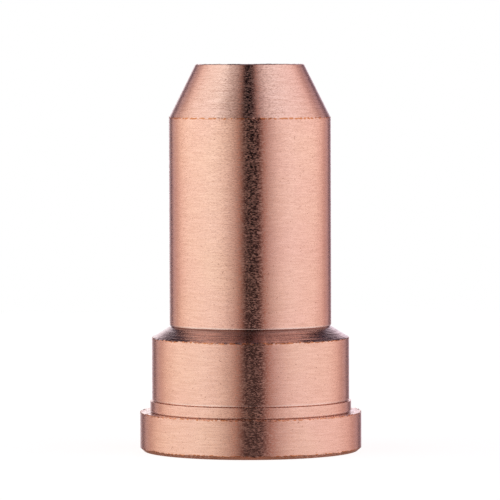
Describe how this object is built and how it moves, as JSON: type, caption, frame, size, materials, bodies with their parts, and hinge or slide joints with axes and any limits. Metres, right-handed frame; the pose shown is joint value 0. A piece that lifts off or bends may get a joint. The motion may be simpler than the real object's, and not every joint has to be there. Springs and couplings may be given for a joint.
{
  "type": "plasma torch nozzle",
  "caption": "Turned copper nozzle for a plasma cutting torch: flanged foot, stepped collar, plain round barrel, conical nose with a fine orifice, and a stepped bore open at the rear.",
  "frame": {"origin": "centre of the flat rear face, on the bore's axis", "axes": "+Z along the bore's axis, from the rear face towards the nose; the part is round about it, so X and Y are free"},
  "size_m": [0.0174, 0.0174, 0.0303],
  "materials": {
    "turned_copper": "bright, fine-turned copper with small burrs at its edges"
  },
  "bodies": {
    "root": {"nozzle": "turned_copper"}
  },
  "joints": []
}
